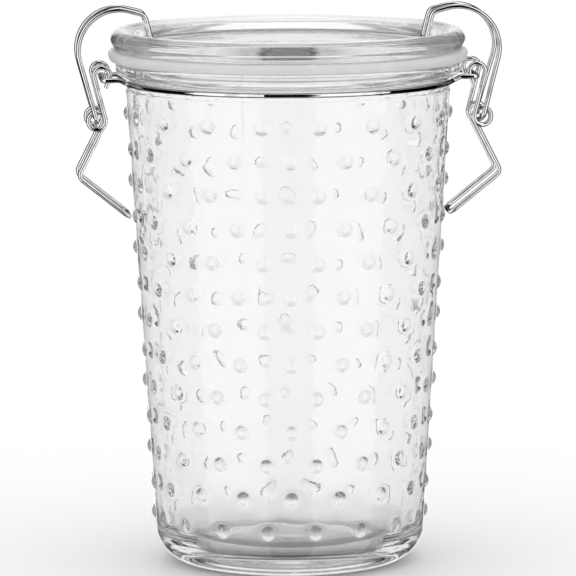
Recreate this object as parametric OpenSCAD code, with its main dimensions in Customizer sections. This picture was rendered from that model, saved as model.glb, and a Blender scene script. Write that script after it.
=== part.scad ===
// Bail clamp jar: a glass storage jar with a loose glass lid, a ring gasket and
// two sprung wire clamps hung on a wire band under the lip.
// Origin on the jar's axis at the plane it stands on, +Z up, clamps on the X axis.

/* [Jar] */
// Outer radius of the body where the straight taper starts, above the heel
foot_r = 50.1; // [49.6:0.1:50.6]
// Outer radius of the body under the neck groove
shoulder_r = 60.4; // [60.2:0.1:60.6]
// Height of the shoulder
shoulder_z = 176.6; // [176:0.1:177]
// Radius of the rounded heel
heel_r = 13.4; // [12:0.1:14]
// Thickness of the glass wall
wall = 4; // [3.4:0.1:4.2]
// Thickness of the glass under the contents
floor_t = 8; // [6:0.5:9]
// Outer radius of the lip
lip_r = 64; // [63.6:0.1:64]
// Height of the flat rim that the gasket sits on
rim_z = 187.15; // [187.1:0.01:187.18]
// Radius of the mouth
mouth_r = 56.6; // [56.4:0.1:56.8]

/* [Lid and gasket] */
// Radius of the circle through the middle of the rounded rim
lid_rim_r = 62.2; // [62:0.1:62.4]
// Radius of the rounded rim itself
lid_round = 3.7; // [3.5:0.1:3.7]
// Height of the middle of the rounded rim
lid_rim_z = 195.1; // [195:0.1:195.3]
// Height of the dish floor that the hooks press on
dish_z = 193.1; // [192.8:0.1:193.1]
// Radius of the plug that drops into the mouth
plug_r = 55.4; // [55:0.1:55.6]
// Outer radius of the gasket
gasket_r = 66.6; // [66:0.1:66.6]
// Height of the gasket's top face
gasket_top = 191.3; // [191.2:0.05:191.3]
// Height of the gasket's bottom face
gasket_low = 187.2; // [187.2:0.01:187.25]

/* [Wire] */
// Diameter of every wire
wire_d = 1.8; // [1.6:0.1:1.8]
// Radius of the neck band, to the middle of the wire
band_r = 60.9; // [60.9:0.05:61]
// Height of the neck band
band_z = 179.6; // [179.5:0.1:179.7]
// Distance from the jar's axis to the crossbar that a lever hangs on
pivot_x = 69.3; // [69:0.1:70]
// Height of that crossbar
pivot_z = 181.2; // [181:0.1:181.4]
// Half the width of the band's loop, to the middle of its arms
loop_half = 12.2; // [12.1:0.1:12.5]

/* [Lever] */
// Half the distance between the two eyes
eye_half = 10; // [9.8:0.1:10]
// Half the distance between the two long arms
arm_half = 8.2; // [8:0.1:8.2]
// Height of an eye's middle above the crossbar
eye_rise = 1.7; // [1.6:0.1:1.8]
// Radius of an eye
eye_r = 2.95; // [2.9:0.05:3]
// Distance of the coil's middle outward from the crossbar
coil_out = 2.1; // [2:0.1:2.3]
// Distance of the coil's middle below the crossbar
coil_drop = 15.1; // [15:0.1:15.3]
// Radius of the coil
coil_r = 3.15; // [3.1:0.05:3.2]

/* [Hook] */
// Half the distance between the hook's arms beside the coils
hook_foot_half = 11.8; // [11.7:0.05:12]
// Half the distance between the hook's arms at its tip
hook_tip_half = 6; // [5.8:0.1:6.4]
// Radius of the hook's big bend
hook_bend = 15.1; // [15:0.1:15.2]

/* [Hidden] */

facets = 48;           // any value above 12 gives true curves
wire_sides = 12;
bend_step = 18;        // largest turn of a wire from one ring of corners to the next
wire_r = wire_d / 2;
bar_half = 10.7;       // half the round length of the crossbar
knit = 0.97;           // share of a coil corner that is bent, the rest is straight

// Jar profile: [r, z] of the outer taper, and the slope of the wall
taper = (shoulder_r - foot_r) / (shoulder_z - heel_r);
groove_r = 59.9;       // neck radius behind the wire
lip_under_z = 181.1;   // underside of the lip over the wire
stand_r = 30;          // inner edge of the ring the jar stands on
punt = 2.5;            // rise of the hollow under the base
inner_heel = 10;

// Clamp geometry in the plane of the right-hand clamp, as [x, z]
pivot = [pivot_x, pivot_z];
eye = pivot + [0.1, eye_rise];
eye_end = pivot + [-1.3, -3];          // free end of the eye
coil = pivot + [coil_out, -coil_drop];
knee = [78.4, 145.3];                  // outer corner of the lever
heel_point = [59.65, 130.3];           // where the lever's crossbar meets the glass
bend_mid = [62.8, 191.6];              // middle of the hook's big bend
bend_out = 195;                        // heading of the wire as it leaves the big bend
hook_shoulder = [53.3, 204.75];        // corner above the dish
hook_tip = [50.6, dish_z + wire_r + 0.05];

function unit(v) = v / norm(v);
function heading(v) = atan2(v[1], v[0]);
function polar(r, a) = [r * cos(a), r * sin(a)];
function body_r(z) = foot_r + taper * (z - heel_r);

// Corners round a circle, tangent to it between corners. The wire enters at the
// heading `from` and turns by `turn` (positive is anticlockwise), while y runs y0 to y1.
function coil_points(mid, r, from, turn, n, y0, y1) =
    let (side = turn > 0 ? -90 : 90, step = turn / n)
    [for (i = [0 : n - 1])
        let (t = (i + 0.5) / n,
             p = mid + polar(r / cos(step / 2), from + side + turn * t))
        [p[0], y0 + (y1 - y0) * t, p[1], r * knit]];

// Mirror image in Y of a run of points, in reverse order
function returned(points) =
    [for (i = [len(points) - 1 : -1 : 0])
        [points[i][0], -points[i][1], points[i][2], points[i][3]]];

// ---------------------------------------------------------------- wire bending

function at(p) = [p[0], p[1], p[2]];
function bend_angle(a, b) = acos(min(1, max(-1, a * b)));

// Middle line of a wire bent along points [x, y, z, bend radius], as [place, heading]
function middle_line(points) =
    let (last = len(points) - 1,
         dirs = [for (i = [0 : last - 1]) unit(at(points[i + 1]) - at(points[i]))])
    concat(
        [[at(points[0]), dirs[0]]],
        [for (i = [1 : last - 1])
            let (a = dirs[i - 1], b = dirs[i], turn = bend_angle(a, b), r = points[i][3],
                 inward = unit(b - a),
                 middle = at(points[i]) + inward * r / cos(turn / 2),
                 out = unit(at(points[i]) - a * r * tan(turn / 2) - middle),
                 n = max(1, ceil(turn / bend_step)))
            for (k = [0 : n])
                let (w = turn * k / n)
                [middle + r * (out * cos(w) + a * sin(w)), a * cos(w) - out * sin(w)]],
        [[at(points[last]), dirs[last - 1]]]);

// A ring of corners round each station of the middle line, carried along without twist
function wire_rings(line) =
    let (first = unit(cross(line[0][1], [0.31, 0.22, 0.93])))
    [for (i = 0, side = first; i < len(line);
          i = i + 1, side = i < len(line)
              ? unit(side - (side * line[i][1]) * line[i][1]) : side)
        for (k = [0 : wire_sides - 1])
            line[i][0] + wire_r * (side * cos(360 * k / wire_sides)
                + cross(line[i][1], side) * sin(360 * k / wire_sides))];

// A solid wire bent along points [x, y, z, bend radius]
module wire(points) {
    line = middle_line(points);
    rings = len(line);
    skin = [for (i = [0 : rings - 2], k = [0 : wire_sides - 1])
        let (a = i * wire_sides + k, b = i * wire_sides + (k + 1) % wire_sides)
        each [[a, b + wire_sides, b], [a, a + wire_sides, b + wire_sides]]];
    front = [for (k = [0 : wire_sides - 1]) k];
    back = [for (k = [wire_sides - 1 : -1 : 0]) (rings - 1) * wire_sides + k];
    polyhedron(points = wire_rings(line), faces = concat(skin, [front], [back]));
}

// A round bar along Y between two places, a hair fatter than the wire whose flat end it meets
module bar(x, z, y0, y1) {
    translate([x, y1, z]) rotate([90, 0, 0])
        cylinder(r = wire_r + 0.01, h = y1 - y0, $fn = facets);
}

module both_sides() {
    for (turn = [0, 180]) rotate([0, 0, turn]) children();
}

// ---------------------------------------------------------------- glass and rubber

// Points of an arc about `mid`, from angle a to angle b
function arc(mid, r, a, b, n = 8) = [for (i = [0 : n]) mid + polar(r, a + (b - a) * i / n)];

module jar_profile() {
    wall_angle = atan(taper);
    heel = [foot_r - heel_r, heel_r];
    inner_foot = body_r(floor_t + inner_heel) - wall;
    polygon(concat(
        [[0, punt]], [[stand_r - 8, punt]], arc([stand_r + 2, 6], 6, 236, 270, 4),
        arc(heel, heel_r, 270, 360 - wall_angle, 12),
        [[shoulder_r - taper * 2, shoulder_z - 2]],
        arc([shoulder_r - 1.2, shoulder_z], 1.2, 0, 60, 3),
        [[groove_r, 178.4], [groove_r, lip_under_z - 0.4], [groove_r + 0.5, lip_under_z]],
        [[62.4, lip_under_z + 1]],
        arc([lip_r - 1.8, lip_under_z + 3], 1.8, -60, 0, 4),
        arc([lip_r - 1.2, rim_z - 1.2], 1.2, 0, 90, 4),
        arc([mouth_r + 1, rim_z - 1], 1, 90, 180, 4),
        [[mouth_r, 180], [shoulder_r - wall, shoulder_z - 4]],
        arc([inner_foot - inner_heel, floor_t + inner_heel], inner_heel, -wall_angle, -90, 8),
        [[0, floor_t + 0.8]]));
}

module jar_body() {
    color([0.86, 0.93, 0.92, 0.45]) rotate_extrude($fn = facets) jar_profile();
}

module lid_profile() {
    rim = [lid_rim_r, lid_rim_z];
    neck = plug_r + 0.8;
    polygon(concat(
        [[0, 188.2], [46, 187.6]], arc([49.5, 186.4], 2.4, 150, 210, 3),
        arc([plug_r - 2.2, 185.6], 2.2, 270, 360, 5),
        [[plug_r, 186.9], [neck, 187.3], [neck, gasket_top + 0.03]],
        [[64.1, gasket_top + 0.03], [64.9, gasket_top + 0.7]],
        arc(rim, lid_round, -2, 112, 14),
        [[57.2, 196.9]], arc([51.6, dish_z + 2.2], 2.2, -40, -90, 4),
        [[0, dish_z]]));
}

module lid() {
    color([0.84, 0.9, 0.9, 0.5]) rotate_extrude($fn = facets) lid_profile();
}

module gasket() {
    thick = gasket_top - gasket_low;
    inner = plug_r + 0.9;
    round_r = 1.4;
    color([0.93, 0.94, 0.92]) rotate_extrude($fn = facets)
        polygon(concat(
            [[inner, gasket_low]],
            arc([gasket_r - 1.8, gasket_low + round_r], round_r, 270, 345, 4),
            arc([gasket_r - round_r, gasket_top - round_r], round_r, 0, 90, 4),
            [[inner, gasket_low + thick]]));
}

// ---------------------------------------------------------------- wires

// The near half of the band, from one crossbar round the front to the other
module band_half() {
    lead = 1.9;        // straight between the ring and its first bend
    first_bend = 1.7;
    rise_run = 3.2;
    corner_bend = 1.5;
    ring_bends = 18;
    leave = asin(loop_half / norm([band_r, lead])) + atan(lead / band_r);
    off = polar(band_r, -leave) + lead * [sin(leave), cos(leave)];
    start = [[pivot_x, -bar_half, pivot_z, 0],
             [pivot_x, -loop_half, pivot_z, corner_bend],
             [off[0] + rise_run, -loop_half, pivot_z, first_bend],
             [off[0], -loop_half, band_z, first_bend]];
    sweep = 180 - 2 * leave;
    ring = [for (i = [0 : ring_bends - 1])
        let (p = polar(band_r / cos(sweep / ring_bends / 2),
                       -leave - sweep * (i + 0.5) / ring_bends))
        [p[0], p[1], band_z, band_r * knit]];
    finish = [for (i = [len(start) - 1 : -1 : 0])
        [-start[i][0], start[i][1], start[i][2], start[i][3]]];
    wire(concat(start, ring, finish));
}

module neck_band() {
    color([0.82, 0.84, 0.86]) both_sides() {
        band_half();
        bar(pivot_x, pivot_z, -bar_half, bar_half);
    }
}

module lever() {
    entry = heading(eye - eye_end) + asin(eye_r / norm(eye - eye_end));
    leg = heading(coil - eye) - asin((eye_r + coil_r) / norm(coil - eye));
    exit = heading(knee - coil) + asin(coil_r / norm(knee - coil));
    half = concat(
        [[eye_end[0], -eye_half, eye_end[1], 0]],
        coil_points(eye, eye_r, entry, leg - entry, 4, -eye_half, -eye_half),
        coil_points(coil, coil_r, leg, 360 + exit - leg, 8, -eye_half, -arm_half),
        [[knee[0], -arm_half, knee[1], 2.6]],
        [[heel_point[0], -arm_half, heel_point[1], 2.6]]);
    wire(concat(half, returned(half)));
}

module hook() {
    stub_end = 5.9;    // how near the middle the ends reach in through the coils
    stub = 9;          // where the round stub meets the bent wire
    bend_half = 7.8;
    rise = heading(bend_mid - coil) - asin(hook_bend / norm(bend_mid - coil));
    half = concat(
        [[coil[0], -stub, coil[1], 0],
         [coil[0], -hook_foot_half, coil[1], 1.6]],
        coil_points(bend_mid, hook_bend, rise, bend_out - rise, 3, -bend_half, -hook_tip_half),
        [[hook_shoulder[0], -hook_tip_half, hook_shoulder[1], 3],
         [hook_tip[0], -hook_tip_half, hook_tip[1], 2]]);
    wire(concat(half, returned(half)));
    bar(coil[0], coil[1], -stub, -stub_end);
    bar(coil[0], coil[1], stub_end, stub);
}

module right_lever() { color([0.8, 0.82, 0.85]) lever(); }
module left_lever() { color([0.8, 0.82, 0.85]) rotate([0, 0, 180]) lever(); }
module right_hook() { color([0.78, 0.8, 0.83]) hook(); }
module left_hook() { color([0.78, 0.8, 0.83]) rotate([0, 0, 180]) hook(); }

jar_body();
neck_band();
lid();
gasket();
left_lever();
right_lever();
left_hook();
right_hook();
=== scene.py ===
"""Looks of the bail clamp jar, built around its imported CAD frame.

The glass, the gasket and every wire are rebuilt as smooth meshes in the places that the frame
gives them, dressed with node materials, and set on a plain floor in soft studio light.
"""

from __future__ import annotations

import logging
import math
from dataclasses import dataclass, field
from enum import Enum

import bmesh
import bpy
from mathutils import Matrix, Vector, noise

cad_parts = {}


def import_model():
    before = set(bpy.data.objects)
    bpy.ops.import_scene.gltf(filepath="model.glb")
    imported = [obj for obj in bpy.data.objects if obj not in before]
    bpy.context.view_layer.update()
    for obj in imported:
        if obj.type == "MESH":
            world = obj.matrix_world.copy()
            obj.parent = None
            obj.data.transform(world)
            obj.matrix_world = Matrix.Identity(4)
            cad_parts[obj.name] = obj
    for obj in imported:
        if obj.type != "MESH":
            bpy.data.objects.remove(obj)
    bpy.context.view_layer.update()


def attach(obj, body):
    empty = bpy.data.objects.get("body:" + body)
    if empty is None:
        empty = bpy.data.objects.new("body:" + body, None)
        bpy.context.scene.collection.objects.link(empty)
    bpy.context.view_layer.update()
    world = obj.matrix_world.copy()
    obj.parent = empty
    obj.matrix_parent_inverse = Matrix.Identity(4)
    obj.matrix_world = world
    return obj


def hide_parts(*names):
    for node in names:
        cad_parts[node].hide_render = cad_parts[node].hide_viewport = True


LOG = logging.getLogger("bail_clamp_jar")
MM = 0.001

Point2 = tuple[float, float]
Colour = tuple[float, float, float, float]
Socket = bpy.types.NodeSocket


class Side(Enum):
    """Which clamp: its name and the sign of its X."""

    LEFT = ("left", -1.0)
    RIGHT = ("right", 1.0)

    @property
    def word(self) -> str:
        """The side's name."""
        return self.value[0]

    @property
    def sign(self) -> float:
        """The sign of the side's X."""
        return self.value[1]


# ------------------------------------------------------------------ plane geometry


def polar(mid: Point2, radius: float, degrees: float) -> Point2:
    """The point at a distance and angle from another."""
    turn = math.radians(degrees)
    return (mid[0] + radius * math.cos(turn), mid[1] + radius * math.sin(turn))


def heading(start: Point2, end: Point2) -> float:
    """The angle in degrees of the line from one point to another."""
    return math.degrees(math.atan2(end[1] - start[1], end[0] - start[0]))


def arc(mid: Point2, radius: float, start: float, end: float, step: float = 6.0) -> list[Point2]:
    """Points along an arc.

    Args:
        mid: Centre of the arc.
        radius: Radius of the arc.
        start: First angle in degrees.
        end: Last angle in degrees.
        step: Largest angle from one point to the next.

    Returns:
        The points, with both ends.
    """
    count = max(1, math.ceil(abs(end - start) / step))
    return [polar(mid, radius, start + (end - start) * i / count) for i in range(count + 1)]


def run(start: Point2, end: Point2, step: float) -> list[Point2]:
    """Evenly spaced points from one point up to, but without, another.

    Args:
        start: First point.
        end: The point to stop short of.
        step: Largest distance from one point to the next.

    Returns:
        The points, with the first and without the last.
    """
    count = max(1, math.ceil(math.dist(start, end) / step))
    return [
        (start[0] + (end[0] - start[0]) * i / count, start[1] + (end[1] - start[1]) * i / count)
        for i in range(count)
    ]


# ------------------------------------------------------------------ mesh helpers


def new_object(name: str, mesh: bpy.types.Mesh) -> bpy.types.Object:
    """Links a mesh to the scene as an object at the origin.

    Args:
        name: Name of the object.
        mesh: Its mesh.

    Returns:
        The object.
    """
    piece = bpy.data.objects.new(name, mesh)
    bpy.context.scene.collection.objects.link(piece)
    return piece


def spin(shell: bmesh.types.BMesh, outline: list[Point2], segments: int, start: float) -> None:
    """Adds a surface of revolution about Z.

    Args:
        shell: The mesh that it is added to.
        outline: Radius and height of each ring in mm; a radius of 0 closes on the axis.
        segments: Number of faces round the axis.
        start: Angle of the first column in degrees.
    """
    rings = []
    for radius, height in outline:
        if radius == 0:
            rings.append([shell.verts.new((0, 0, height * MM))])
            continue
        ring = [polar((0, 0), radius, start + 360 * i / segments) for i in range(segments)]
        rings.append([shell.verts.new((x * MM, y * MM, height * MM)) for x, y in ring])
    for low, high in zip(rings, rings[1:]):
        for i in range(segments):
            j = (i + 1) % segments
            corners = [low[i % len(low)], low[j % len(low)], high[j % len(high)], high[i % len(high)]]
            shell.faces.new(list(dict.fromkeys(corners)))


def finish_shell(shell: bmesh.types.BMesh, name: str) -> bpy.types.Object:
    """Welds a closed shell, turns its faces outwards and makes it an object.

    Args:
        shell: The mesh, which is freed.
        name: Name of the new object.

    Returns:
        The object, smoothly shaded.
    """
    bmesh.ops.remove_doubles(shell, verts=shell.verts, dist=2e-7)
    bmesh.ops.recalc_face_normals(shell, faces=shell.faces)
    for face in shell.faces:
        face.smooth = True
    mesh = bpy.data.meshes.new(name)
    shell.to_mesh(mesh)
    shell.free()
    return new_object(name, mesh)


# ------------------------------------------------------------------ node helpers


def link_value(tree: bpy.types.NodeTree, value: object, socket: Socket) -> None:
    """Joins an output socket to an input, or sets the input to a plain value.

    Args:
        tree: The node tree.
        value: The output socket or the value.
        socket: The input.
    """
    if isinstance(value, bpy.types.NodeSocket):
        tree.links.new(value, socket)
    else:
        socket.default_value = value


def math_node(tree: bpy.types.NodeTree, operation: str, *values: object) -> Socket:
    """Adds a Math node.

    Args:
        tree: The node tree.
        operation: The Math node's operation.
        values: Output sockets or numbers for its inputs, in order.

    Returns:
        The node's output.
    """
    node = tree.nodes.new("ShaderNodeMath")
    node.operation = operation
    for value, socket in zip(values, node.inputs):
        link_value(tree, value, socket)
    return node.outputs[0]


def add_node(tree: bpy.types.NodeTree, kind: str, **inputs: object) -> bpy.types.Node:
    """Adds a node and feeds its inputs.

    Args:
        tree: The node tree.
        kind: The node's type.
        inputs: Output sockets or plain values, with underscores for spaces in their names.

    Returns:
        The node.
    """
    node = tree.nodes.new(kind)
    for title, value in inputs.items():
        link_value(tree, value, node.inputs[title.replace("_", " ")])
    return node


def smooth_step(tree: bpy.types.NodeTree, value: Socket, start: object, end: object) -> Socket:
    """Adds a soft step from 0 to 1.

    Args:
        tree: The node tree.
        value: What is measured.
        start: Where the step is still 0, a number or a socket.
        end: Where it is 1.

    Returns:
        The step.
    """
    node = add_node(tree, "ShaderNodeMapRange", Value=value, From_Min=start, From_Max=end)
    node.interpolation_type = "SMOOTHSTEP"
    return node.outputs["Result"]


def place_nodes(tree: bpy.types.NodeTree, width: float = 190.0) -> None:
    """Sets a tree's nodes out in rows so that it can be read."""
    for i, node in enumerate(tree.nodes):
        node.location = ((i % 8) * width, -(i // 8) * width)


def set_inputs(modifier: bpy.types.NodesModifier, values: dict[str, object]) -> None:
    """Sets a Geometry Nodes modifier's inputs by the names of their sockets.

    Args:
        modifier: The modifier.
        values: Each input's name and value.
    """
    for item in modifier.node_group.interface.items_tree:
        if item.item_type == "SOCKET" and item.in_out == "INPUT" and item.name in values:
            modifier[item.identifier] = values[item.name]


def bake(carrier: bpy.types.Object, name: str) -> bpy.types.Mesh:
    """Turns the result of an object's modifiers into a plain mesh and removes the object.

    Args:
        carrier: The object that carries the modifiers.
        name: Name of the new mesh.

    Returns:
        The plain mesh.
    """
    graph = bpy.context.evaluated_depsgraph_get()
    mesh = bpy.data.meshes.new_from_object(carrier.evaluated_get(graph))
    mesh.name = name
    carrier.modifiers.clear()
    bpy.data.objects.remove(carrier, do_unlink=True)
    return mesh


# ------------------------------------------------------------------ shared shader groups


class ShaderGroups:
    """The surface effects that several finishes share, each built once."""

    def __init__(self) -> None:
        """Builds the groups."""
        self.ripple = self._ripple()
        self.handling = self._handling()

    @staticmethod
    def _group(name: str, inputs: dict[str, float], outputs: list[str]) -> bpy.types.NodeTree:
        """Makes an empty group.

        Args:
            name: The group's name.
            inputs: Name and default of each number that it takes.
            outputs: Name of each number that it puts out.

        Returns:
            The group's node tree.
        """
        tree = bpy.data.node_groups.new(name, "ShaderNodeTree")
        for title, default in inputs.items():
            socket = tree.interface.new_socket(title, in_out="INPUT", socket_type="NodeSocketFloat")
            socket.default_value = default
        for title in outputs:
            tree.interface.new_socket(title, in_out="OUTPUT", socket_type="NodeSocketFloat")
        return tree

    @staticmethod
    def _noise(tree: bpy.types.NodeTree, scale: object, detail: float) -> Socket:
        """Adds a noise texture on object coordinates.

        Args:
            tree: The node tree.
            scale: The noise's scale, a number or a socket.
            detail: Its detail.

        Returns:
            The noise's value.
        """
        place = tree.nodes.new("ShaderNodeTexCoord").outputs["Object"]
        cloud = add_node(tree, "ShaderNodeTexNoise", Scale=scale, Detail=detail, Vector=place)
        return cloud.outputs["Fac"]

    def _ripple(self) -> bpy.types.NodeTree:
        """The slow swell and the fine orange peel that a mould leaves on a poured surface.

        Returns:
            The group's node tree.
        """
        tree = self._group(
            "mould_ripple",
            {"Swell Scale": 40.0, "Swell": 1.0, "Peel Scale": 400.0, "Peel": 0.1},
            ["Height"],
        )
        given = tree.nodes.new("NodeGroupInput")
        result = tree.nodes.new("NodeGroupOutput")
        swell = self._noise(tree, given.outputs["Swell Scale"], 1.0)
        peel = self._noise(tree, given.outputs["Peel Scale"], 2.0)
        slow = math_node(tree, "MULTIPLY", swell, given.outputs["Swell"])
        fine = math_node(tree, "MULTIPLY", peel, given.outputs["Peel"])
        tree.links.new(math_node(tree, "ADD", slow, fine), result.inputs["Height"])
        place_nodes(tree)
        return tree

    def _handling(self) -> bpy.types.NodeTree:
        """Roughness that varies where a surface has been wiped and handled.

        Returns:
            The group's node tree.
        """
        tree = self._group(
            "handling_marks",
            {"Scale": 60.0, "Clean": 0.0, "Smeared": 0.1, "Cover": 0.5},
            ["Roughness", "Mask"],
        )
        given = tree.nodes.new("NodeGroupInput")
        result = tree.nodes.new("NodeGroupOutput")
        cloud = self._noise(tree, given.outputs["Scale"], 4.0)
        mask = smooth_step(tree, cloud, given.outputs["Cover"], 0.8)
        span = math_node(tree, "SUBTRACT", given.outputs["Smeared"], given.outputs["Clean"])
        added = math_node(tree, "MULTIPLY", span, mask)
        rough = math_node(tree, "ADD", added, given.outputs["Clean"])
        tree.links.new(rough, result.inputs["Roughness"])
        tree.links.new(mask, result.inputs["Mask"])
        place_nodes(tree)
        return tree


# ------------------------------------------------------------------ finishes


def use_group(tree: bpy.types.NodeTree, group: bpy.types.NodeTree, **values: float) -> bpy.types.Node:
    """Places a shared group in a material.

    Args:
        tree: The material's node tree.
        group: The group.
        values: Its inputs, with underscores for spaces in their names.

    Returns:
        The group node.
    """
    node = tree.nodes.new("ShaderNodeGroup")
    node.node_tree = group
    for title, value in values.items():
        node.inputs[title.replace("_", " ")].default_value = value
    return node


def bumped(
    tree: bpy.types.NodeTree, height: Socket, depth: float, normal: Socket | None = None
) -> Socket:
    """Adds a Bump node.

    Args:
        tree: The material's node tree.
        height: The height to use.
        depth: Distance in metres that a height of 1 stands for.
        normal: The normal so far, if something has bumped it already.

    Returns:
        The bumped normal.
    """
    node = add_node(tree, "ShaderNodeBump", Height=height, Distance=depth)
    if normal is not None:
        tree.links.new(normal, node.inputs["Normal"])
    return node.outputs["Normal"]


def worn(
    tree: bpy.types.NodeTree, shader: bpy.types.Node, marks: bpy.types.Node, fresh: Colour, dull: Colour
) -> None:
    """Varies a material's colour and roughness by its handling marks.

    Args:
        tree: The material's node tree.
        shader: Its shader node.
        marks: Its handling marks.
        fresh: The colour where it is clean.
        dull: The colour where it has been handled.
    """
    colours = tree.nodes.new("ShaderNodeMix")
    colours.data_type = "RGBA"
    tree.links.new(marks.outputs["Mask"], colours.inputs["Factor"])
    colours.inputs["A"].default_value = fresh
    colours.inputs["B"].default_value = dull
    tree.links.new(colours.outputs["Result"], shader.inputs["Base Color"])
    tree.links.new(marks.outputs["Roughness"], shader.inputs["Roughness"])


def start_material(name: str) -> tuple[bpy.types.Material, bpy.types.Node]:
    """Makes a material with a Principled shader.

    Args:
        name: The material's name.

    Returns:
        The material and its shader node.
    """
    material = bpy.data.materials.new(name)
    material.use_nodes = True
    return material, material.node_tree.nodes["Principled BSDF"]


@dataclass(frozen=True)
class GlassFinish:
    """Clear pressed glass."""

    name: str
    tint: Colour = (0.955, 0.962, 0.960, 1.0)
    ior: float = 1.5
    swell: float = 1.0
    peel: float = 0.3
    ripple_depth: float = 0.00004
    clean: float = 0.0
    smeared: float = 0.03
    seam_at: float | None = None
    seam_half: float = 0.45
    seam_depth: float = 0.00015
    seam_from: float = 0.158
    seam_full: float = 0.166

    def seam(self, tree: bpy.types.NodeTree, normal: Socket) -> Socket:
        """Raises the fine line where the halves of the mould meet under the lip.

        Args:
            tree: The material's node tree.
            normal: The normal so far.

        Returns:
            The normal with the line.
        """
        place = tree.nodes.new("ShaderNodeTexCoord")
        split = tree.nodes.new("ShaderNodeSeparateXYZ")
        tree.links.new(place.outputs["Object"], split.inputs[0])
        front = math_node(tree, "MULTIPLY", split.outputs["Y"], -1.0)
        turn = math_node(tree, "ARCTAN2", split.outputs["X"], front)
        off = math_node(tree, "SUBTRACT", turn, math.radians(self.seam_at or 0.0))
        off = math_node(tree, "ABSOLUTE", math_node(tree, "WRAP", off, math.pi / 2, -math.pi / 2))
        ridge = smooth_step(tree, off, math.radians(self.seam_half), 0.0)
        fade = add_node(
            tree,
            "ShaderNodeMapRange",
            Value=split.outputs["Z"],
            From_Min=self.seam_from,
            From_Max=self.seam_full,
        )
        height = math_node(tree, "MULTIPLY", ridge, fade.outputs["Result"])
        return bumped(tree, height, self.seam_depth, normal)

    def build(self, groups: ShaderGroups) -> bpy.types.Material:
        """Builds the material.

        Args:
            groups: The shared shader groups.

        Returns:
            The material.
        """
        material, shader = start_material(self.name)
        tree = material.node_tree
        shader.inputs["Base Color"].default_value = self.tint
        shader.inputs["Transmission Weight"].default_value = 1.0
        shader.inputs["IOR"].default_value = self.ior
        ripple = use_group(
            tree, groups.ripple, Swell_Scale=55.0, Swell=self.swell, Peel_Scale=380.0, Peel=self.peel
        )
        marks = use_group(
            tree, groups.handling, Scale=45.0, Clean=self.clean, Smeared=self.smeared, Cover=0.55
        )
        normal = bumped(tree, ripple.outputs["Height"], self.ripple_depth)
        if self.seam_at is not None:
            normal = self.seam(tree, normal)
        tree.links.new(normal, shader.inputs["Normal"])
        tree.links.new(marks.outputs["Roughness"], shader.inputs["Roughness"])
        place_nodes(tree)
        return material


@dataclass(frozen=True)
class WireFinish:
    """Bright plated spring wire, with painted dark rims: a near-black edge tint darkens its reflection at
    grazing angles.
    """

    name: str = "bright_wire"
    bright: Colour = (0.90, 0.905, 0.91, 1.0)
    dull: Colour = (0.60, 0.60, 0.59, 1.0)
    # rim: near-black edge tint, painted shade that darkens every wire's reflection towards its edges
    rim: Colour = (0.05, 0.05, 0.05, 1.0)
    clean: float = 0.02
    smeared: float = 0.09
    ripple_depth: float = 0.000005

    def build(self, groups: ShaderGroups) -> bpy.types.Material:
        """Builds the material.

        Args:
            groups: The shared shader groups.

        Returns:
            The material.
        """
        material, shader = start_material(self.name)
        tree = material.node_tree
        shader.inputs["Metallic"].default_value = 1.0
        # painted shade: the rim tint blacks out the reflection near the wire's edges
        shader.inputs["Specular Tint"].default_value = self.rim
        marks = use_group(
            tree, groups.handling, Scale=220.0, Clean=self.clean, Smeared=self.smeared, Cover=0.5
        )
        worn(tree, shader, marks, self.bright, self.dull)
        ripple = use_group(
            tree, groups.ripple, Swell_Scale=300.0, Swell=1.0, Peel_Scale=2600.0, Peel=0.1
        )
        tree.links.new(bumped(tree, ripple.outputs["Height"], self.ripple_depth), shader.inputs["Normal"])
        place_nodes(tree)
        return material


@dataclass(frozen=True)
class SiliconeFinish:
    """Translucent white silicone rubber."""

    name: str = "white_silicone"
    pale: Colour = (0.87, 0.875, 0.87, 1.0)
    deep: Colour = (0.80, 0.805, 0.80, 1.0)
    scatter_m: float = 0.004
    ripple_depth: float = 0.00004

    def build(self, groups: ShaderGroups) -> bpy.types.Material:
        """Builds the material.

        Args:
            groups: The shared shader groups.

        Returns:
            The material.
        """
        material, shader = start_material(self.name)
        tree = material.node_tree
        shader.inputs["IOR"].default_value = 1.41
        shader.inputs["Transmission Weight"].default_value = 0.35
        shader.inputs["Subsurface Weight"].default_value = 0.6
        shader.inputs["Subsurface Radius"].default_value = (1.0, 1.0, 0.95)
        shader.inputs["Subsurface Scale"].default_value = self.scatter_m
        marks = use_group(tree, groups.handling, Scale=90.0, Clean=0.32, Smeared=0.5, Cover=0.4)
        worn(tree, shader, marks, self.pale, self.deep)
        ripple = use_group(
            tree, groups.ripple, Swell_Scale=120.0, Swell=0.6, Peel_Scale=1500.0, Peel=0.3
        )
        tree.links.new(bumped(tree, ripple.outputs["Height"], self.ripple_depth), shader.inputs["Normal"])
        place_nodes(tree)
        return material


# ------------------------------------------------------------------ the jar


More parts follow.
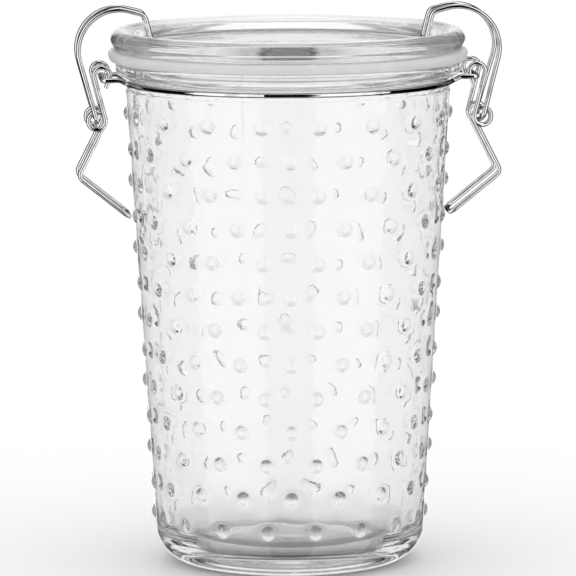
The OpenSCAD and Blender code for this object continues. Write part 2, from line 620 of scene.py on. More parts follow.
@dataclass
class HobnailWall:
    """The band of brick-laid hobnails round the tapering wall, as one surface."""

    columns: int = 18
    rows: int = 13
    first_z: float = 17.9
    pitch: float = 12.47
    proud: float = 1.2
    hob_r: float = 2.7
    turn: float = 6.0
    across: int = 8
    radius_at_foot: float = 49.25
    taper: float = 0.06311
    edge_share: float = 0.85
    foot_share: float = 1.12
    ring_shares: tuple[float, ...] = (0.16, 0.32, 0.48, 0.62, 0.75, 0.85, 0.93, 1.02, 1.12)
    skirt_shares: tuple[float, ...] = (0.45, 1.0)

    @property
    def low_z(self) -> float:
        """Height of the wall's lower edge."""
        return self.first_z - self.pitch / 2

    @property
    def high_z(self) -> float:
        """Height of the wall's upper edge."""
        return self.low_z + self.pitch * self.rows

    @property
    def segments(self) -> int:
        """Number of faces round the wall's edges."""
        return self.columns * self.across

    def radius(self, height: float) -> float:
        """Radius of the plain wall at a height."""
        return self.radius_at_foot + self.taper * height

    def rise(self, distance: float) -> float:
        """How far a hobnail stands proud at a distance from its middle: a cap with a soft foot.

        Args:
            distance: The distance in mm.

        Returns:
            The rise in mm.
        """
        edge, foot = self.edge_share * self.hob_r, self.foot_share * self.hob_r
        ball = (self.hob_r**2 + self.proud**2) / (2 * self.proud)
        if distance <= edge:
            return math.sqrt(ball**2 - distance**2) - (ball - self.proud)
        at_edge = math.sqrt(ball**2 - edge**2) - (ball - self.proud)
        return at_edge * (max(0.0, foot - distance) / (foot - edge)) ** 2

    def tile(self) -> bpy.types.Object:
        """One hobnail on its patch of wall, 1 by 1 across and raised in metres.

        Returns:
            The tile, which repeats as a brick does.
        """
        half = self.across // 2
        up = self.across // 4
        border = [(0.5, i / (2 * up)) for i in range(up)]
        border += [(0.5 - i / self.across, 0.5) for i in range(self.across)]
        border += [(-0.5, 0.5 - i / (2 * up)) for i in range(2 * up)]
        border += [(-0.5 + i / self.across, -0.5) for i in range(self.across)]
        border += [(0.5, -0.5 + i / (2 * up)) for i in range(up)]
        spokes = len(border)
        width = 2 * math.pi * self.radius(self.first_z + self.pitch * half) / self.columns
        shell = bmesh.new()
        middle = shell.verts.new((0, 0, self.rise(0) * MM))
        loops = []
        for share in self.ring_shares:
            distance = share * self.hob_r
            circle = [polar((0, 0), distance, 360 * i / spokes) for i in range(spokes)]
            height = self.rise(distance) * MM
            loops.append([shell.verts.new((x / width, y / self.pitch, height)) for x, y in circle])
        outer = [(v.co.x, v.co.y) for v in loops[-1]]
        for share in self.skirt_shares:
            blend = [
                (a[0] + (b[0] - a[0]) * share, a[1] + (b[1] - a[1]) * share)
                for a, b in zip(outer, border)
            ]
            loops.append([shell.verts.new((x, y, 0)) for x, y in blend])
        for i in range(spokes):
            j = (i + 1) % spokes
            shell.faces.new((middle, loops[0][i], loops[0][j]))
            for inner, wider in zip(loops, loops[1:]):
                shell.faces.new((inner[i], wider[i], wider[j], inner[j]))
        mesh = bpy.data.meshes.new("hobnail_tile")
        shell.to_mesh(mesh)
        shell.free()
        return new_object("hobnail_tile", mesh)

    def tree(self) -> bpy.types.NodeTree:
        """Builds the Geometry Nodes tree that lays the tiles and rolls them round the wall.

        Returns:
            The node tree.
        """
        tree = bpy.data.node_groups.new("hobnail_wall", "GeometryNodeTree")
        sockets = [
            ("Tile", "NodeSocketObject"),
            ("Columns", "NodeSocketInt"),
            ("Rows", "NodeSocketInt"),
            ("Pitch", "NodeSocketFloat"),
            ("Lowest", "NodeSocketFloat"),
            ("Foot Radius", "NodeSocketFloat"),
            ("Taper", "NodeSocketFloat"),
            ("Turn", "NodeSocketFloat"),
            ("Finish", "NodeSocketMaterial"),
        ]
        for title, kind in sockets:
            tree.interface.new_socket(title, in_out="INPUT", socket_type=kind)
        tree.interface.new_socket("Wall", in_out="OUTPUT", socket_type="NodeSocketGeometry")
        given = tree.nodes.new("NodeGroupInput").outputs
        result = tree.nodes.new("NodeGroupOutput")

        index = tree.nodes.new("GeometryNodeInputIndex").outputs["Index"]
        row = math_node(tree, "FLOOR", math_node(tree, "DIVIDE", index, given["Columns"]))
        column = math_node(tree, "MODULO", index, given["Columns"])
        stagger = math_node(tree, "MULTIPLY", math_node(tree, "MODULO", row, 2.0), 0.5)
        spot = add_node(
            tree, "ShaderNodeCombineXYZ", X=math_node(tree, "SUBTRACT", column, stagger), Y=row
        )
        count = math_node(tree, "MULTIPLY", given["Columns"], given["Rows"])
        points = add_node(tree, "GeometryNodePoints", Count=count, Position=spot.outputs[0])
        brick = add_node(tree, "GeometryNodeObjectInfo", Object=given["Tile"]).outputs["Geometry"]
        laid = add_node(
            tree, "GeometryNodeInstanceOnPoints", Points=points.outputs[0], Instance=brick
        )
        real = add_node(tree, "GeometryNodeRealizeInstances", Geometry=laid.outputs["Instances"])

        place = tree.nodes.new("GeometryNodeInputPosition").outputs[0]
        flat = add_node(tree, "ShaderNodeSeparateXYZ", Vector=place).outputs
        step = math_node(tree, "DIVIDE", 2 * math.pi, given["Columns"])
        angle = math_node(tree, "ADD", math_node(tree, "MULTIPLY", flat["X"], step), given["Turn"])
        lift = math_node(tree, "MULTIPLY", flat["Y"], given["Pitch"])
        height = math_node(tree, "ADD", lift, given["Lowest"])
        wall = math_node(tree, "MULTIPLY_ADD", height, given["Taper"], given["Foot Radius"])
        radius = math_node(tree, "ADD", wall, flat["Z"])
        across = math_node(tree, "MULTIPLY", radius, math_node(tree, "COSINE", angle))
        along = math_node(tree, "MULTIPLY", radius, math_node(tree, "SINE", angle))
        rolled = add_node(tree, "ShaderNodeCombineXYZ", X=across, Y=along, Z=height).outputs[0]
        move = add_node(
            tree, "GeometryNodeSetPosition", Geometry=real.outputs["Geometry"], Position=rolled
        )
        weld = add_node(
            tree, "GeometryNodeMergeByDistance", Geometry=move.outputs["Geometry"], Distance=1e-6
        )
        dress = add_node(
            tree,
            "GeometryNodeSetMaterial",
            Geometry=weld.outputs["Geometry"],
            Material=given["Finish"],
        )
        link_value(tree, dress.outputs["Geometry"], result.inputs["Wall"])
        place_nodes(tree)
        return tree

    def build(self, finish: bpy.types.Material) -> bpy.types.Mesh:
        """Makes the wall.

        Args:
            finish: The material that it is made of.

        Returns:
            A plain open mesh, to be welded into the jar.
        """
        tile = self.tile()
        carrier = new_object("hobnail_carrier", bpy.data.meshes.new("hobnail_carrier"))
        modifier = carrier.modifiers.new("hobnails", "NODES")
        modifier.node_group = self.tree()
        set_inputs(
            modifier,
            {
                "Tile": tile,
                "Columns": self.columns,
                "Rows": self.rows,
                "Pitch": self.pitch * MM,
                "Lowest": self.first_z * MM,
                "Foot Radius": self.radius_at_foot * MM,
                "Taper": self.taper,
                "Turn": math.radians(self.turn - 90),
                "Finish": finish,
            },
        )
        wall = bake(carrier, "hobnail_wall")
        bpy.data.objects.remove(tile, do_unlink=True)
        return wall


@dataclass
class GlassJar:
    """The pressed glass jar, in mm: heel, hobnailed wall, neck groove, lip, and hollow inside."""

    wall: HobnailWall = field(default_factory=HobnailWall)
    heel_r: float = 13.4
    thickness: float = 4.0
    floor_t: float = 8.0
    floor_dome: float = 0.8
    floor_flat: float = 2.0
    inner_heel: float = 10.0
    punt: float = 2.5
    punt_r: float = 22.0
    punt_edge_r: float = 24.5
    punt_edge_drop: float = 0.05
    ring_r: float = 32.0
    ring_round: float = 6.0
    shoulder_z: float = 176.6
    shoulder_round: float = 1.2
    groove_r: float = 59.9
    seat_z: float = 179.6
    seat_round: float = 1.1
    lip_under_z: float = 181.1
    lip_root_round: float = 1.3
    lip_under_r: float = 62.2
    lip_under_rise: float = 0.75
    lip_r: float = 64.0
    lip_corner: float = 2.0
    rim_z: float = 187.15
    rim_round: float = 1.3
    mouth_r: float = 56.6
    mouth_round: float = 1.2
    mouth_top_z: float = 184.5
    mouth_low_z: float = 176.5
    wave: float = 0.42
    wave_mm: float = 13.0
    wave_fade: float = 8.0
    wave_gap: float = 6.0
    fine_share: float = 0.5
    fine_scale: float = 2.1
    fine_shift: tuple[float, float, float] = (7.0, 3.0, 5.0)

    def foot(self) -> list[Point2]:
        """The outline under the hobnails: the hollow of the base, the standing ring, the heel.

        Returns:
            Radius and height of each point in mm.
        """
        heel = (self.wall.radius(self.heel_r) - self.heel_r, self.heel_r)
        low = self.wall.low_z
        top = math.degrees(math.asin((low - self.heel_r) / self.heel_r))
        outline = run((0.0, self.punt), (self.punt_r, self.punt), 5.0)
        outline.append((self.punt_edge_r, self.punt - self.punt_edge_drop))
        outline += arc((self.ring_r, self.ring_round), self.ring_round, 216, 270)
        outline += arc(heel, self.heel_r, 270, 360 + top, 5.0)[:-1]
        return outline + [(self.wall.radius(low), low)]

    def neck(self) -> list[Point2]:
        """The outline from the last hobnails over the shoulder, the groove and the lip.

        Returns:
            Radius and height of each point in mm.
        """
        high = self.wall.high_z
        shoulder = self.wall.radius(self.shoulder_z) - self.shoulder_round
        lean = math.degrees(math.atan(self.wall.taper))
        seat, root, corner, rim = self.seat_round, self.lip_root_round, self.lip_corner, self.rim_round
        under = self.lip_under_z
        outline = [(self.wall.radius(high), high)]
        outline += arc((shoulder, self.shoulder_z - 0.4), self.shoulder_round, -lean, 66)
        outline += arc((self.groove_r + seat, self.seat_z), seat, 200, 165)
        outline += arc((self.groove_r + root, under - 1.2), root, 150, 105)
        outline.append((self.lip_under_r, under + self.lip_under_rise))
        outline += arc((self.lip_r - corner, under + 3.0), corner, -62, 0)
        outline += run((self.lip_r, under + 3.4), (self.lip_r, self.rim_z - 1.4), 2.0)
        outline += arc((self.lip_r - rim, self.rim_z - rim), rim, 0, 90)
        mouth = (self.mouth_r + self.mouth_round, self.rim_z - self.mouth_round)
        return outline + arc(mouth, self.mouth_round, 90, 180)

    def inside(self) -> list[Point2]:
        """The outline from the mouth down the inside of the wall and across the floor.

        Returns:
            Radius and height of each point in mm.
        """
        lean = math.degrees(math.atan(self.wall.taper))
        inner_z = self.floor_t + self.inner_heel
        inner_r = self.wall.radius(inner_z) - self.thickness
        flat = inner_r - self.inner_heel
        middle = (0.0, self.floor_t + self.floor_dome)
        outline = run((self.mouth_r, self.mouth_top_z), (self.mouth_r, self.mouth_low_z), 2.5)
        outline += run((self.mouth_r - 0.05, self.mouth_low_z), (inner_r, inner_z), 3.0)
        outline += arc((flat, inner_z), self.inner_heel, -lean, -90, 7.5)
        return outline + run((flat - self.floor_flat, self.floor_t), middle, 6.0) + [middle]

    def press(self, shell: bmesh.types.BMesh) -> None:
        """Gives the inside the slow waves that a plunger leaves in thick glass.

        Args:
            shell: The inside and the rim of the jar, which is changed.
        """
        low, high = self.floor_t + self.inner_heel / 2, self.shoulder_z - self.wave_gap
        for vert in shell.verts:
            height = vert.co.z / MM
            radius = math.hypot(vert.co.x, vert.co.y) / MM
            if radius > self.wall.radius(height) - self.thickness / 2 or not low < height < high:
                continue
            fade = min(1.0, (height - low) / self.wave_fade, (high - height) / self.wave_fade)
            place = vert.co / (self.wave_mm * MM)
            fine = noise.noise(place * self.fine_scale + Vector(self.fine_shift))
            swell = noise.noise(place) + self.fine_share * fine
            push = self.wave * fade * swell / radius
            vert.co.x *= 1 + push
            vert.co.y *= 1 + push

    def build(self, glass: bpy.types.Material) -> bpy.types.Object:
        """Makes the jar as one closed shell.

        Args:
            glass: Its material.

        Returns:
            The jar.
        """
        shell = bmesh.new()
        shell.from_mesh(self.wall.build(glass))
        start = self.wall.turn - 90
        spin(shell, self.foot(), self.wall.segments, start)
        inside = bmesh.new()
        spin(inside, self.neck() + self.inside(), self.wall.segments, start)
        self.press(inside)
        carrier = bpy.data.meshes.new("jar_inside")
        inside.to_mesh(carrier)
        inside.free()
        shell.from_mesh(carrier)
        piece = finish_shell(shell, "glass_jar")
        piece.data.materials.clear()  # this also puts every face in the first slot
        piece.data.materials.append(glass)
        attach(piece, "jar")
        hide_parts("jar_body")
        return piece


@dataclass
class LidSet:
    """The loose glass lid and the ring gasket that its plug grips."""

    segments: int = 160
    rim: Point2 = (62.2, 195.1)
    rim_r: float = 3.7
    dish_z: float = 193.1
    plug_r: float = 55.4
    gasket_r: float = 66.6
    gasket_top: float = 191.3
    gasket_low: float = 187.2

    def lid_outline(self) -> list[Point2]:
        """The lid's outline from the axis underneath, round the rim, to the axis on top.

        Returns:
            Radius and height of each point in mm.
        """
        seat = self.gasket_top + 0.03
        neck = self.plug_r + 0.8
        outline = run((0.0, 188.3), (46.0, 187.7), 6.0)
        outline += arc((46.2, 184.6), 3.1, 92, 40, 10)
        outline += arc((51.3, 186.4), 2.9, 205, 270, 10)
        outline += arc((self.plug_r - 2.2, 185.6), 2.1, 270, 355, 8)
        outline += arc((self.plug_r + 0.4, 187.0), 0.4, 180, 90, 30)
        outline += run((neck, 187.5), (neck, seat - 0.3), 2.0)
        outline += [(neck + 0.3, seat)]
        outline += run((57.5, seat), (63.6, seat), 2.0)
        outline += arc((63.8, seat + 1.0), 1.0, -90, -20, 12)
        outline += arc(self.rim, self.rim_r, -4, 118, 5)
        outline += arc((60.0, 200.6), 4.6, 250, 222, 8)
        outline += arc((51.4, self.dish_z + 3.6), 3.6, -42, -90, 8)
        outline += run((48.0, self.dish_z), (0.0, self.dish_z + 0.3), 6.0)
        return outline + [(0.0, self.dish_z + 0.3)]

    def gasket_outline(self) -> list[Point2]:
        """The gasket's outline, from its inner edge round the bulging outside and back.

        Returns:
            Radius and height of each point in mm.
        """
        inner = self.plug_r + 0.9
        low, high = self.gasket_low, self.gasket_top
        outline = run((inner + 0.3, low), (self.gasket_r - 2.0, low), 3.0)
        outline += arc((self.gasket_r - 1.8, low + 1.5), 1.5, 270, 338, 10)
        outline += arc((self.gasket_r - 1.5, high - 1.5), 1.5, -8, 90, 10)
        outline += run((self.gasket_r - 3.0, high), (inner + 0.3, high), 3.0)
        outline += [(inner + 0.3, high), (inner, high - 0.3), (inner, low + 0.3)]
        return outline + [(inner + 0.3, low)]

    def _piece(
        self, name: str, outline: list[Point2], node: str, finish: bpy.types.Material
    ) -> bpy.types.Object:
        """Spins one ring or disc and puts it in its CAD node's place.

        Args:
            name: Name of the piece.
            outline: Its outline.
            node: The CAD node that it stands for.
            finish: Its material.

        Returns:
            The piece.
        """
        shell = bmesh.new()
        spin(shell, outline, self.segments, 0.0)
        piece = finish_shell(shell, name)
        piece.data.materials.append(finish)
        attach(piece, "lid")
        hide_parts(node)
        return piece

    def build(
        self, glass: bpy.types.Material, rubber: bpy.types.Material
    ) -> list[bpy.types.Object]:
        """Makes the lid and the gasket.

        Args:
            glass: The lid's material.
            rubber: The gasket's material.

        Returns:
            Both pieces.
        """
        return [
            self._piece("glass_lid", self.lid_outline(), "lid", glass),
            self._piece("ring_gasket", self.gasket_outline(), "gasket", rubber),
        ]


# ------------------------------------------------------------------ bent wire


@dataclass(frozen=True)
class Corner:
    """A place where a wire turns, in mm: its point and the radius of the bend."""

    x: float
    y: float
    z: float
    bend: float = 0.0

    @property
    def place(self) -> Vector:
        """The corner's point."""
        return Vector((self.x, self.y, self.z))

    def across(self) -> Corner:
        """The same corner on the far side, mirrored in Y."""
        return Corner(self.x, -self.y, self.z, self.bend)


def coil_corners(
    mid: Point2, radius: float, start: float, turn: float, count: int, y_from: float, y_to: float
) -> list[Corner]:
    """Corners round a circle that the wire touches between them.

    Args:
        mid: Centre of the circle, as X and Z.
        radius: Its radius.
        start: Heading of the wire as it meets the circle, in degrees.
        turn: How far the wire turns, positive anticlockwise.
        count: Number of corners.
        y_from: Y where the turn starts.
        y_to: Y where it ends.

    Returns:
        The corners.
    """
    side = -90 if turn > 0 else 90
    reach = radius / math.cos(math.radians(turn / count / 2))
    corners = []
    for i in range(count):
        share = (i + 0.5) / count
        x, z = polar(mid, reach, start + side + turn * share)
        corners.append(Corner(x, y_from + (y_to - y_from) * share, z, radius * 0.985))
    return corners


def mirrored(half: list[Corner]) -> list[Corner]:
    """A wire's near half followed by its far half."""
    return half + [corner.across() for corner in reversed(half)]


@dataclass
class WireShop:
    """Bends wire along corners and gives it its round section."""

    diameter: float = 1.8
    sides: int = 20
    step: float = 7.0
    end_taper: float = 0.78
    nib_share: float = 0.25
    tree: bpy.types.NodeTree | None = None

    def middle_line(self, corners: list[Corner], closed: bool) -> list[Vector]:
        """Rounds a run of corners into a smooth middle line.

        Args:
            corners: The corners, in mm.
            closed: Whether the last corner joins the first.

        Returns:
            Points along the middle line, in mm.
        """
        count = len(corners)
        line: list[Vector] = []
        for i, corner in enumerate(corners):
            if not closed and i in (0, count - 1):
                line.append(corner.place)
                continue
            before = (corner.place - corners[i - 1].place).normalized()
            after = (corners[(i + 1) % count].place - corner.place).normalized()
            turn = before.angle(after)
            inward = (after - before).normalized()
            middle = corner.place + inward * (corner.bend / math.cos(turn / 2))
            out = (corner.place - before * (corner.bend * math.tan(turn / 2)) - middle).normalized()
            pieces = max(1, math.ceil(math.degrees(turn) / self.step))
            for k in range(pieces + 1):
                at = turn * k / pieces
                line.append(middle + (out * math.cos(at) + before * math.sin(at)) * corner.bend)
        return line

    def _tree(self) -> bpy.types.NodeTree:
        """Builds the Geometry Nodes tree that gives a path its round section, once.

        Returns:
            The node tree.
        """
        if self.tree is not None:
            return self.tree
        tree = bpy.data.node_groups.new("round_wire", "GeometryNodeTree")
        for title, kind in (
            ("Path", "NodeSocketGeometry"),
            ("Radius", "NodeSocketFloat"),
            ("Sides", "NodeSocketInt"),
            ("Finish", "NodeSocketMaterial"),
        ):
            tree.interface.new_socket(title, in_out="INPUT", socket_type=kind)
        tree.interface.new_socket("Wire", in_out="OUTPUT", socket_type="NodeSocketGeometry")
        given = tree.nodes.new("NodeGroupInput").outputs
        result = tree.nodes.new("NodeGroupOutput")
        section = add_node(
            tree,
            "GeometryNodeCurvePrimitiveCircle",
            Radius=given["Radius"],
            Resolution=given["Sides"],
        )
        drawn = add_node(
            tree,
            "GeometryNodeCurveToMesh",
            Curve=given["Path"],
            Profile_Curve=section.outputs["Curve"],
            Fill_Caps=True,
        )
        if "Scale" in drawn.inputs:
            thick = tree.nodes.new("GeometryNodeInputRadius")
            link_value(tree, thick.outputs[0], drawn.inputs["Scale"])
        real = add_node(tree, "GeometryNodeRealizeInstances", Geometry=drawn.outputs["Mesh"])
        dress = add_node(
            tree,
            "GeometryNodeSetMaterial",
            Geometry=real.outputs["Geometry"],
            Material=given["Finish"],
        )
        link_value(tree, dress.outputs["Geometry"], result.inputs["Wire"])
        place_nodes(tree)
        self.tree = tree
        return tree

    def bend(
        self, name: str, corners: list[Corner], finish: bpy.types.Material, closed: bool = False
    ) -> bpy.types.Object:
        """Makes a wire.

        Args:
            name: Name of the piece.
            corners: Its corners, in mm.
            finish: Its material.
            closed: Whether it is welded into a loop.

        Returns:
            The wire, as a plain mesh.
        """
        line = self.middle_line(corners, closed)
        radii = [1.0] * len(line)
        if not closed:
            nib = self.nib_share * self.diameter
            for end, inner in ((0, 1), (-1, -2)):
                along = (line[inner] - line[end]).normalized()
                line.insert(1 if end == 0 else len(line) - 1, line[end] + along * nib)
            radii = [self.end_taper] + [1.0] * (len(line) - 2) + [self.end_taper]
        curve = bpy.data.curves.new(name, "CURVE")
        curve.dimensions = "3D"
        curve.twist_mode = "MINIMUM"
        spline = curve.splines.new("POLY")
        spline.points.add(len(line) - 1)
        for point, place, radius in zip(spline.points, line, radii):
            point.co = (*(place * MM), 1.0)
            point.radius = radius
        spline.use_cyclic_u = closed
        carrier = bpy.data.objects.new(name + "_path", curve)
        bpy.context.scene.collection.objects.link(carrier)
        modifier = carrier.modifiers.new("round", "NODES")
        modifier.node_group = self._tree()
        set_inputs(
            modifier, {"Radius": self.diameter / 2 * MM, "Sides": self.sides, "Finish": finish}
        )
        shell = bmesh.new()
        shell.from_mesh(bake(carrier, name))
        piece = finish_shell(shell, name)
        piece.data.materials.append(finish)
        return piece


@dataclass
class NeckBand:
    """The wire ring under the lip, with a loop on each side for a lever to hang on."""

    ring_r: float = 60.9
    ring_z: float = 179.6
    pivot: Point2 = (69.3, 181.2)
    loop_half: float = 12.2
    lead: float = 1.9
    rise_run: float = 3.2
    loop_bend: float = 1.7
    bar_bend: float = 1.5
    bends: int = 24

    def corners(self) -> list[Corner]:
        """The band's corners, once round.

        Returns:
            The corners.
        """
        leave = math.degrees(
            math.asin(self.loop_half / math.hypot(self.ring_r, self.lead))
            + math.atan(self.lead / self.ring_r)
        )
        start = polar((0, 0), self.ring_r, -leave)
        off = polar(start, self.lead, 90 - leave)
        loop = [
            Corner(off[0], -self.loop_half, self.ring_z, self.loop_bend),
            Corner(off[0] + self.rise_run, -self.loop_half, self.pivot[1], self.loop_bend),
            Corner(self.pivot[0], -self.loop_half, self.pivot[1], self.bar_bend),
        ]
        sweep = 180 - 2 * leave
        reach = self.ring_r / math.cos(math.radians(sweep / self.bends / 2))
        far = []
        for i in range(self.bends):
            x, y = polar((0, 0), reach, leave + sweep * (i + 0.5) / self.bends)
            far.append(Corner(x, y, self.ring_z, self.ring_r * 0.98))
        half = mirrored(loop) + far
        return half + [Corner(-c.x, -c.y, c.z, c.bend) for c in half]

    def build(self, shop: WireShop, finish: bpy.types.Material) -> bpy.types.Object:
        """Makes the band.

        Args:
            shop: What bends the wire.
            finish: Its material.

        Returns:
            The band.
        """
        piece = shop.bend("wire_band", self.corners(), finish, closed=True)
        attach(piece, "jar")
        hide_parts("neck_band")
        return piece


@dataclass
class Clamp:
    """One side's lever and hook."""

    side: Side
    pivot: Point2 = (69.3, 181.2)
    end_off: Point2 = (-1.3, -3.0)
    eye_off: Point2 = (0.1, 1.7)
    coil_off: Point2 = (2.1, -15.1)
    eye_half: float = 10.0
    arm_half: float = 8.2
    eye_r: float = 2.95
    coil_r: float = 3.15
    knee: Point2 = (78.4, 145.3)
    rest: Point2 = (59.65, 130.3)
    foot_half: float = 11.8
    bend_half: float = 7.8
    tip_half: float = 6.0
    bend_r: float = 15.1
    bend_mid: Point2 = (62.8, 191.6)
    bend_out: float = 195.0
    shoulder: Point2 = (53.3, 204.75)
    tip: Point2 = (50.6, 194.05)
    stub: float = 5.9
    knee_bend: float = 2.6
    foot_bend: float = 1.6
    shoulder_bend: float = 3.0
    tip_bend: float = 2.0

    @property
    def coil(self) -> Point2:
        """Middle of the lever's coil."""
        return self.from_pivot(self.coil_off)

    def from_pivot(self, off: Point2) -> Point2:
        """The point at an offset from the pivot."""
        return (self.pivot[0] + off[0], self.pivot[1] + off[1])

    def placed(self, corners: list[Corner]) -> list[Corner]:
        """Corners turned half round the jar for the left-hand clamp."""
        sign = self.side.sign
        return [Corner(c.x * sign, c.y * sign, c.z, c.bend) for c in corners]

    def lever_corners(self) -> list[Corner]:
        """The lever: open eye, leg, coil, knee, crossbar, and the same back again.

        Returns:
            The corners.
        """
        eye, end = self.from_pivot(self.eye_off), self.from_pivot(self.end_off)
        coil = self.coil
        into_eye = heading(end, eye) + math.degrees(math.asin(self.eye_r / math.dist(end, eye)))
        leg_lean = math.asin((self.eye_r + self.coil_r) / math.dist(eye, coil))
        leg = heading(eye, coil) - math.degrees(leg_lean)
        out_lean = math.asin(self.coil_r / math.dist(coil, self.knee))
        leave = heading(coil, self.knee) + math.degrees(out_lean)
        half = [Corner(end[0], -self.eye_half, end[1])]
        half += coil_corners(
            eye, self.eye_r, into_eye, leg - into_eye, 4, -self.eye_half, -self.eye_half
        )
        half += coil_corners(
            coil, self.coil_r, leg, 360 + leave - leg, 10, -self.eye_half, -self.arm_half
        )
        half.append(Corner(self.knee[0], -self.arm_half, self.knee[1], self.knee_bend))
        half.append(Corner(self.rest[0], -self.arm_half, self.rest[1], self.knee_bend))
        return mirrored(half)

    def hook_corners(self) -> list[Corner]:
        """The hook: stub through the coil, arm, big bend, shoulder, tip, and back again.

        Returns:
            The corners.
        """
        coil = self.coil
        lean = math.asin(self.bend_r / math.dist(coil, self.bend_mid))
        rise = heading(coil, self.bend_mid) - math.degrees(lean)
        half = [
            Corner(coil[0], -self.stub, coil[1]),
            Corner(coil[0], -self.foot_half, coil[1], self.foot_bend),
        ]
        half += coil_corners(
            self.bend_mid, self.bend_r, rise, self.bend_out - rise, 4, -self.bend_half, -self.tip_half
        )
        half.append(Corner(self.shoulder[0], -self.tip_half, self.shoulder[1], self.shoulder_bend))
        half.append(Corner(self.tip[0], -self.tip_half, self.tip[1], self.tip_bend))
        return mirrored(half)

    def build(self, shop: WireShop, finish: bpy.types.Material) -> list[bpy.types.Object]:
        """Makes the lever and the hook.

        Args:
            shop: What bends the wire.
            finish: Their material.

        Returns:
            Both wires.
        """
        pieces = []
        for part, corners in (("lever", self.lever_corners()), ("hook", self.hook_corners())):
            node = f"{self.side.word}_{part}"
            piece = shop.bend(f"wire_{node}", self.placed(corners), finish)
            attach(piece, node)
            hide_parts(node)
            pieces.append(piece)
        return pieces


# ------------------------------------------------------------------ studio


@dataclass(frozen=True)
class Card:
    """A dark card of the studio, the same on both sides of the camera.

    It reaches between two angles from the camera's side round the jar and between two heights,
    all in degrees. Mirrored and refracted are its brightness in reflections and through glass,
    where 1 leaves the room as it is.
    """

    azimuth_from: float
    azimuth_to: float
    lowest: float
    highest: float
    mirrored: float
    refracted: float
    soft: float = 4.0


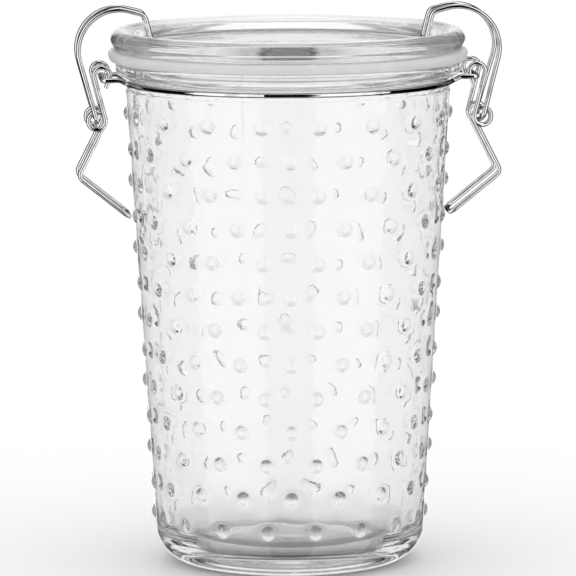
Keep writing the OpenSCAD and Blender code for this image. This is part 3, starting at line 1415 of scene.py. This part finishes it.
@dataclass
class Studio:
    """A pale floor, a bright room with dark cards, and the camera.

    Lengths are in metres, but the lens is in mm; angles are in degrees.
    """

    floor_size: float = 30.0
    azimuth: float = -4.8
    distance: float = 2.0
    height: float = 0.3713
    pitch: float = 7.676
    lens: float = 338.7
    roll: float = 0.25
    aim_off: float = 0.024
    strength: float = 1.13
    bounces: int = 28
    cards: tuple[Card, ...] = (
        # in reflections: at the sides, behind the camera, and all round below
        Card(74.0, 165.0, -66.0, 78.0, 0.0, 1.0),
        Card(-9.0, 19.0, -55.0, 66.0, 0.0, 1.0),
        Card(-9.0, 189.0, -88.0, -50.0, 0.1, 1.0, 10.0),
        # through glass: at the sides, in front, high up behind, and straight behind
        Card(98.0, 150.0, -3.0, 30.0, 1.0, 0.03, 8.0),
        Card(-9.0, 98.0, 4.0, 40.0, 1.0, 0.45, 12.0),
        Card(98.0, 200.0, 24.0, 62.0, 1.0, 0.30, 12.0),
        Card(166.0, 200.0, -30.0, 25.0, 1.0, 0.80, 12.0),
    )

    def floor(self) -> bpy.types.Object:
        """A plain pale floor.

        Returns:
            The floor.
        """
        shell = bmesh.new()
        bmesh.ops.create_grid(shell, x_segments=1, y_segments=1, size=self.floor_size / 2)
        mesh = bpy.data.meshes.new("floor")
        shell.to_mesh(mesh)
        shell.free()
        plane = new_object("floor", mesh)
        material, shader = start_material("pale_floor")
        shader.inputs["Base Color"].default_value = (0.93, 0.93, 0.93, 1.0)
        shader.inputs["Roughness"].default_value = 0.6
        shader.inputs["Specular IOR Level"].default_value = 0.2
        mesh.materials.append(material)
        plane.visible_glossy = False
        return plane

    def room(self) -> None:
        """The light of the room: white, but for its dark cards."""
        world = bpy.data.worlds.new("studio_room")
        bpy.context.scene.world = world
        world.use_nodes = True
        tree = world.node_tree
        tree.nodes.clear()
        toward = tree.nodes.new("ShaderNodeTexCoord")
        split = tree.nodes.new("ShaderNodeSeparateXYZ")
        tree.links.new(toward.outputs["Generated"], split.inputs[0])
        back = math_node(tree, "MULTIPLY", split.outputs["Y"], -1.0)
        angle = math_node(tree, "ARCTAN2", split.outputs["X"], back)
        shifted = math_node(tree, "SUBTRACT", angle, math.radians(self.azimuth))
        turned = math_node(tree, "WRAP", shifted, math.pi, -math.pi)
        away = math_node(tree, "MULTIPLY", math_node(tree, "ABSOLUTE", turned), 180 / math.pi)
        rise = math_node(tree, "MULTIPLY", math_node(tree, "ARCSINE", split.outputs["Z"]), 180 / math.pi)
        path = tree.nodes.new("ShaderNodeLightPath")
        through = path.outputs["Is Transmission Ray"]
        glossy = math_node(tree, "SUBTRACT", path.outputs["Is Glossy Ray"], through)
        glossy = math_node(tree, "MAXIMUM", glossy, 0.0)
        level: Socket | float = 1.0
        for card in self.cards:
            cover = math_node(
                tree,
                "MULTIPLY",
                self._between(tree, away, card.azimuth_from, card.azimuth_to, card.soft),
                self._between(tree, rise, card.lowest, card.highest, card.soft),
            )
            mirrored = math_node(tree, "MULTIPLY", glossy, 1 - card.mirrored)
            depth = math_node(tree, "MULTIPLY_ADD", through, 1 - card.refracted, mirrored)
            dark = math_node(tree, "MULTIPLY", cover, depth)
            level = math_node(tree, "MULTIPLY", level, math_node(tree, "SUBTRACT", 1.0, dark))
        scaled = math_node(tree, "MULTIPLY", level, self.strength)
        bright = math_node(tree, "MAXIMUM", scaled, path.outputs["Is Camera Ray"])
        glow = add_node(tree, "ShaderNodeBackground", Color=(1.0, 1.0, 1.0, 1.0), Strength=bright)
        add_node(tree, "ShaderNodeOutputWorld", Surface=glow.outputs[0])
        place_nodes(tree)

    @staticmethod
    def _between(
        tree: bpy.types.NodeTree, value: Socket, low: float, high: float, soft: float
    ) -> Socket:
        """A window that is 1 between two values and 0 outside, with soft edges.

        Args:
            tree: The world's node tree.
            value: What is measured.
            low: Lower edge.
            high: Upper edge.
            soft: Width of the edges.

        Returns:
            The window.
        """
        rising = smooth_step(tree, value, low - soft / 2, low + soft / 2)
        past = smooth_step(tree, value, high - soft / 2, high + soft / 2)
        return math_node(tree, "MULTIPLY", rising, math_node(tree, "SUBTRACT", 1.0, past))

    def camera(self) -> bpy.types.Object:
        """A long lens a little above the jar and a little to its left.

        Returns:
            The camera.
        """
        data = bpy.data.cameras.new("camera")
        data.sensor_width = 36.0
        data.lens = self.lens
        camera = bpy.data.objects.new("camera", data)
        bpy.context.scene.collection.objects.link(camera)
        turn = math.radians(self.azimuth)
        camera.location = (
            self.distance * math.sin(turn),
            -self.distance * math.cos(turn),
            self.height,
        )
        camera.rotation_euler = (
            math.radians(90 - self.pitch),
            math.radians(self.roll),
            turn - math.radians(self.aim_off),
        )
        bpy.context.scene.camera = camera
        return camera

    def build(self) -> None:
        """Sets the studio up."""
        self.camera()
        self.floor()
        self.room()
        bpy.context.scene.view_settings.view_transform = "Standard"
        cycles = bpy.context.scene.cycles
        cycles.max_bounces = self.bounces
        cycles.glossy_bounces = self.bounces
        cycles.transmission_bounces = self.bounces


def main() -> None:
    """Builds the object in order and reports each piece."""
    logging.basicConfig(level=logging.INFO, format="%(name)s: %(message)s")
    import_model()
    Studio().build()
    groups = ShaderGroups()
    jar_glass = GlassFinish("jar_glass", seam_at=-21.0).build(groups)
    lid_glass = GlassFinish(
        "lid_glass", tint=(0.93, 0.94, 0.937, 1.0), clean=0.03, smeared=0.07
    ).build(groups)
    rubber = SiliconeFinish().build(groups)
    wire = WireFinish().build(groups)
    pieces = [GlassJar().build(jar_glass)]
    pieces += LidSet().build(lid_glass, rubber)
    shop = WireShop()
    pieces.append(NeckBand().build(shop, wire))
    for side in Side:
        pieces += Clamp(side).build(shop, wire)
    for piece in pieces:
        LOG.info("%s: %d faces", piece.name, len(piece.data.polygons))


if __name__ == "__main__":
    main()
